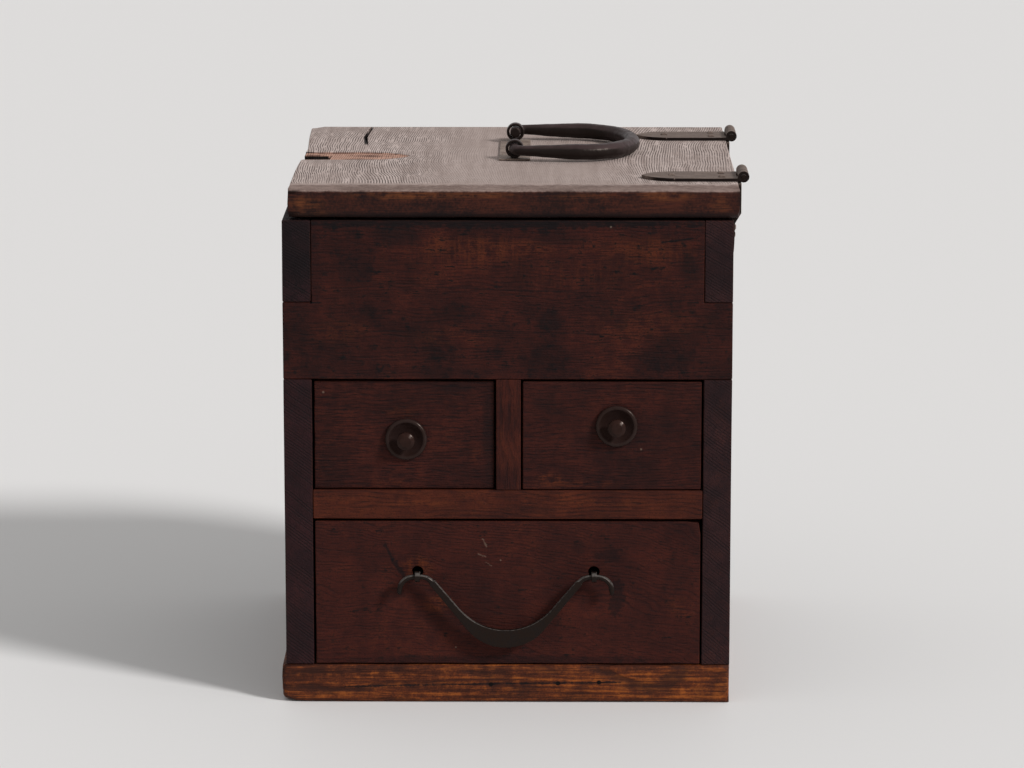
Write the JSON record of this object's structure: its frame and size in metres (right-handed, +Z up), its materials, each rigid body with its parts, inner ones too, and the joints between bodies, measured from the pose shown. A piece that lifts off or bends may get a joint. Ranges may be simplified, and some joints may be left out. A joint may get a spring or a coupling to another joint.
{
  "type": "money box",
  "caption": "Wooden money chest with a hinged lid over a coin well, stud-knob drawers and a wide drawer with a drop handle, on a base board; iron strap hinges and a folding carrying handle.",
  "frame": {"origin": "centre of the case on the underside of the base board", "axes": "+X to the right seen from the front, +Y to the back, +Z up"},
  "size_m": [0.1973, 0.1961, 0.2288],
  "materials": {
    "stained_wood": "dark red-brown stain, worn",
    "base_wood": "worn orange-brown softwood",
    "lid_wood": "weathered grey-brown, ridged",
    "inner_wood": "plain unfinished boards",
    "forged_iron": "dark forged iron",
    "hinge_iron": "grey-brown rough iron"
  },
  "bodies": {
    "case": {"base_board": "base_wood", "base_pegs": "base_wood", "left_side": "stained_wood", "right_side": "stained_wood", "upper_front": "stained_wood", "back_board": "stained_wood", "coin_well_floor": "inner_wood", "front_rail": "stained_wood", "shelf_panel": "inner_wood", "divider_post": "stained_wood", "divider_panel": "inner_wood", "front_hinge_side_leaf": "hinge_iron", "rear_hinge_side_leaf": "hinge_iron", "front_hinge_pin": "hinge_iron", "rear_hinge_pin": "hinge_iron", "hinge_side_nails": "hinge_iron"},
    "lid": {"lid_board": "lid_wood", "lid_front_lipping": "lid_wood", "front_hinge_lid_leaf": "hinge_iron", "rear_hinge_lid_leaf": "hinge_iron", "hinge_lid_nails": "hinge_iron", "handle_plate": "forged_iron", "handle_eye_front": "forged_iron", "handle_eye_rear": "forged_iron"},
    "lid_handle": {"lid_handle": "forged_iron"},
    "left_drawer": {"left_drawer_front": "stained_wood", "left_drawer_left_side": "inner_wood", "left_drawer_right_side": "inner_wood", "left_drawer_back": "inner_wood", "left_drawer_bottom": "inner_wood", "left_drawer_pegs": "inner_wood", "left_knob_rosette": "forged_iron", "left_knob_stud": "forged_iron"},
    "right_drawer": {"right_drawer_front": "stained_wood", "right_drawer_left_side": "inner_wood", "right_drawer_right_side": "inner_wood", "right_drawer_back": "inner_wood", "right_drawer_bottom": "inner_wood", "right_drawer_pegs": "inner_wood", "right_knob_rosette": "forged_iron", "right_knob_stud": "forged_iron"},
    "large_drawer": {"large_drawer_front": "stained_wood", "large_drawer_left_side": "inner_wood", "large_drawer_right_side": "inner_wood", "large_drawer_back": "inner_wood", "large_drawer_bottom": "inner_wood", "large_drawer_pegs": "inner_wood", "bail_eyelet_left": "forged_iron", "bail_eyelet_right": "forged_iron"},
    "drawer_bail": {"drawer_bail": "forged_iron"}
  },
  "joints": [
    {"name": "lid_hinge", "type": "hinge", "parent": "case", "child": "lid", "pos_m": [0.0989, 0, 0.222], "axis": [0, 1, 0], "range_deg": [0, 250]},
    {"name": "handle_swing", "type": "hinge", "parent": "lid", "child": "lid_handle", "pos_m": [0.0022, 0.019, 0.2248], "axis": [0, -1, 0], "range_deg": [0, 177]},
    {"name": "left_drawer_slide", "type": "slide", "parent": "case", "child": "left_drawer", "axis": [0, -1, 0], "range_m": [0, 0.125]},
    {"name": "right_drawer_slide", "type": "slide", "parent": "case", "child": "right_drawer", "axis": [0, -1, 0], "range_m": [0, 0.125]},
    {"name": "large_drawer_slide", "type": "slide", "parent": "case", "child": "large_drawer", "axis": [0, -1, 0], "range_m": [0, 0.125]},
    {"name": "bail_swing", "type": "hinge", "parent": "large_drawer", "child": "drawer_bail", "pos_m": [-0.0008, -0.0988, 0.056], "axis": [-1, 0, 0], "range_deg": [-5, 175]}
  ]
}
